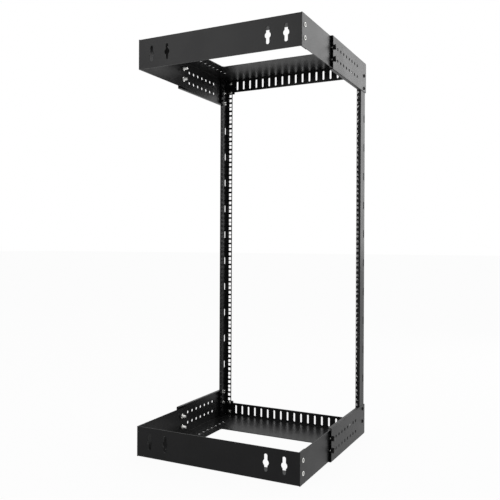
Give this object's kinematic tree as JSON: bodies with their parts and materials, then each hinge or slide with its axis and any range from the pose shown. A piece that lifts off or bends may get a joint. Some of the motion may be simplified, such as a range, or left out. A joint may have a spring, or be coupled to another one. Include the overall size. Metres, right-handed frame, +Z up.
{
  "type": "two post open frame rack",
  "caption": "Open frame for 19 inch equipment: two square-hole posts between folded brackets, set off from the wall by bolted arms with rows of holes for depth",
  "frame": {"origin": "on the floor plane, in the middle of the bounding box's footprint", "axes": "X along the width, Y from the equipment face to the wall, Z up"},
  "size_m": [0.5126, 0.5152, 1.162],
  "materials": {
    "powder_coated_steel": "satin powder coat, fine texture",
    "black_bolt": "black oxide",
    "zinc_nut": "bright zinc"
  },
  "bodies": {
    "root": {"wall_plate_upper": "powder_coated_steel", "front_bracket_upper": "powder_coated_steel", "wall_arm_upper_left": "powder_coated_steel", "wall_rivets_upper_left": "zinc_nut", "depth_bolts_upper_left": "black_bolt", "depth_nuts_upper_left": "zinc_nut", "side_bolts_upper_left": "black_bolt", "side_nuts_upper_left": "zinc_nut", "rail_bolts_upper_left": "black_bolt", "rail_nuts_upper_left": "zinc_nut", "wall_arm_upper_right": "powder_coated_steel", "wall_rivets_upper_right": "zinc_nut", "depth_bolts_upper_right": "black_bolt", "depth_nuts_upper_right": "zinc_nut", "side_bolts_upper_right": "black_bolt", "side_nuts_upper_right": "zinc_nut", "rail_bolts_upper_right": "black_bolt", "rail_nuts_upper_right": "zinc_nut", "wall_plate_lower": "powder_coated_steel", "front_bracket_lower": "powder_coated_steel", "wall_arm_lower_left": "powder_coated_steel", "wall_rivets_lower_left": "zinc_nut", "depth_bolts_lower_left": "black_bolt", "depth_nuts_lower_left": "zinc_nut", "side_bolts_lower_left": "black_bolt", "side_nuts_lower_left": "zinc_nut", "rail_bolts_lower_left": "black_bolt", "rail_nuts_lower_left": "zinc_nut", "wall_arm_lower_right": "powder_coated_steel", "wall_rivets_lower_right": "zinc_nut", "depth_bolts_lower_right": "black_bolt", "depth_nuts_lower_right": "zinc_nut", "side_bolts_lower_right": "black_bolt", "side_nuts_lower_right": "zinc_nut", "rail_bolts_lower_right": "black_bolt", "rail_nuts_lower_right": "zinc_nut", "post_left": "powder_coated_steel", "post_right": "powder_coated_steel"}
  },
  "joints": []
}
